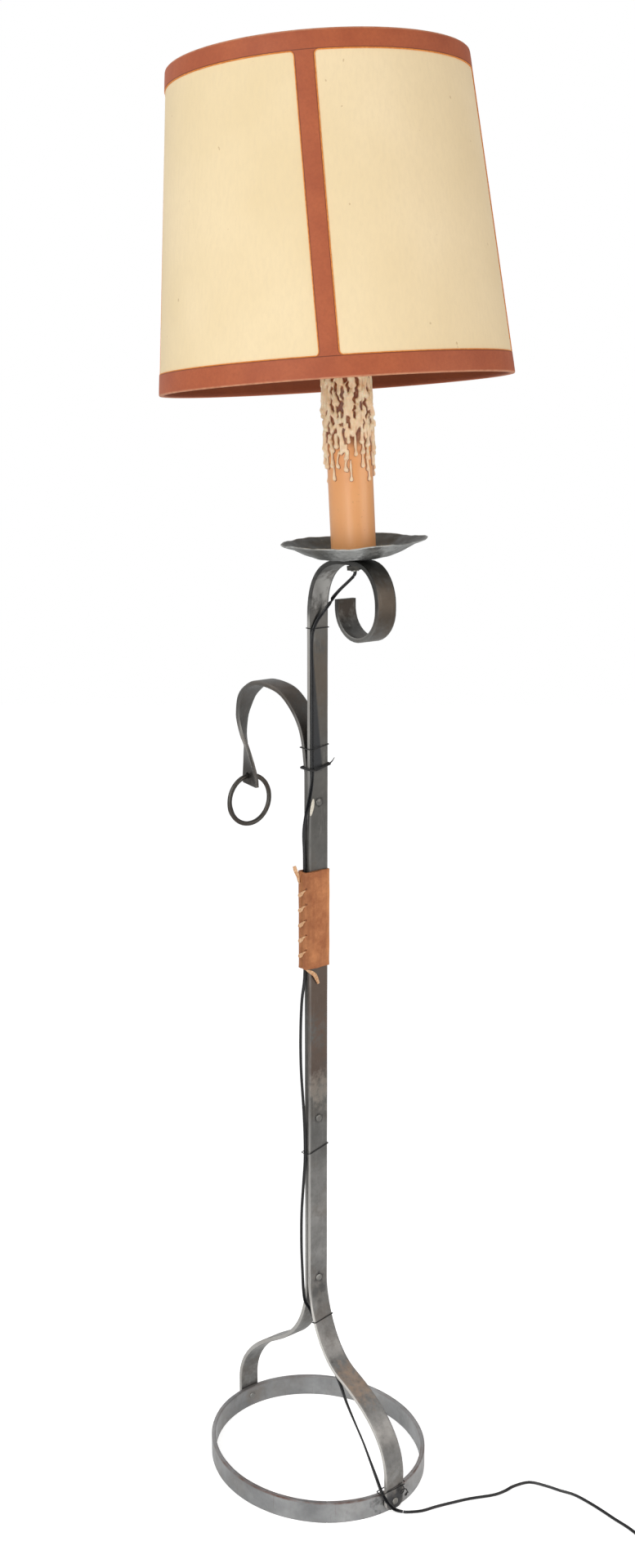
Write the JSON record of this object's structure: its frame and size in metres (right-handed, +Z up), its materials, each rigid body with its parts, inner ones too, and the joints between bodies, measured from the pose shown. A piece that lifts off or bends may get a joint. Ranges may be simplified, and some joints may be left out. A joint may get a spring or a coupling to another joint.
{
  "type": "floor lamp",
  "caption": "Wrought iron floor lamp: riveted flat bars on an oval ring foot, a hook with a hanging ring, a drip dish with a wax candle sleeve, and a drum shade.",
  "frame": {"origin": "middle of the lamp's own bounding box at floor level, the free lead not counted", "axes": "+Z up, -Y towards the side that the picture shows, +X to the right of it"},
  "size_m": [0.7891, 0.427, 1.8664],
  "materials": {
    "iron": "hand-forged flat bar, blackened and waxed, worn at its edges",
    "ring_iron": "blackened flat bar, brighter and greyer, with some rust",
    "rivet_iron": "forged rivet heads",
    "plated_steel": "zinc plated, dull",
    "brass": "bright brass sheet",
    "leather": "smooth vegetable-tanned leather with a rubbed surface",
    "lace": "thin raw leather thong",
    "cable": "black flexible cable cover, slightly glossy",
    "thread": "black twisted thread",
    "black_plastic": "moulded black plastic",
    "porcelain": "white glazed insulator",
    "bulb_glass": "inside-frosted bulb glass",
    "candle_card": "waxed tan card tube",
    "wax": "runs of cream wax",
    "parchment": "cream laminated shade paper",
    "shade_trim": "reddish brown trim, edged with a thin stitched line",
    "painted_wire": "white painted wire"
  },
  "bodies": {
    "lamp_frame": {"base_ring": "ring_iron", "pole_bar": "iron", "back_bar": "iron", "pole_rivet_1": "rivet_iron", "pole_rivet_2": "rivet_iron", "pole_rivet_3": "rivet_iron", "front_foot_rivet": "rivet_iron", "back_foot_rivet": "rivet_iron", "leather_sleeve": "leather", "sleeve_lace": "lace", "top_thread": "thread", "hook_wire": "plated_steel", "black_tie": "thread", "low_thread": "thread", "leg_wire": "plated_steel", "foot_wire": "plated_steel", "pole_cable": "cable", "drip_dish": "iron", "dish_washer": "plated_steel", "candle_sleeve": "candle_card", "wax_drips": "wax", "threaded_rod": "plated_steel", "arch_nut": "plated_steel", "dish_nut": "plated_steel", "holder_cap": "black_plastic", "holder_shell": "black_plastic", "holder_insulator": "porcelain", "screw_shell": "brass", "centre_contact": "brass", "bulb_cap": "brass", "bulb_glass": "bulb_glass", "ring_nut_lower": "black_plastic", "ring_nut_upper": "black_plastic", "free_cord": "cable", "cord_coil": "cable", "coil_tie": "black_plastic", "switch_base": "black_plastic", "switch_cover": "black_plastic", "switch_contacts": "brass", "plug_body": "black_plastic", "plug_strain_relief": "black_plastic", "plug_pin_left": "plated_steel", "plug_pin_right": "plated_steel"},
    "loose_ring": {"hanging_ring": "iron"},
    "shade": {"bottom_trim": "shade_trim", "top_trim": "shade_trim", "shade_carrier": "painted_wire", "top_wire": "painted_wire", "shade_panel_1": "parchment", "shade_panel_2": "parchment", "shade_panel_3": "parchment", "shade_panel_4": "parchment", "shade_strip_1": "shade_trim", "shade_strip_2": "shade_trim", "shade_strip_3": "shade_trim", "shade_strip_4": "shade_trim"},
    "rocker": {"switch_rocker": "black_plastic"}
  },
  "joints": [
    {"name": "ring_swing", "type": "hinge", "parent": "lamp_frame", "child": "loose_ring", "pos_m": [-0.11647, 0.1703, 0.96945], "axis": [0.7771, 0.6293, 0], "range_deg": [-150, 150]},
    {"name": "shade_turn", "type": "hinge", "parent": "lamp_frame", "child": "shade", "pos_m": [-0.00226, 0.00122, 1.52467], "axis": [-0.0645, 0.0348, 0.9973], "continuous": true},
    {"name": "rocker_tip", "type": "hinge", "parent": "lamp_frame", "child": "rocker", "pos_m": [0.46293, -0.15705, 0.0096], "axis": [0, 1, 0], "range_deg": [0, 16]}
  ]
}
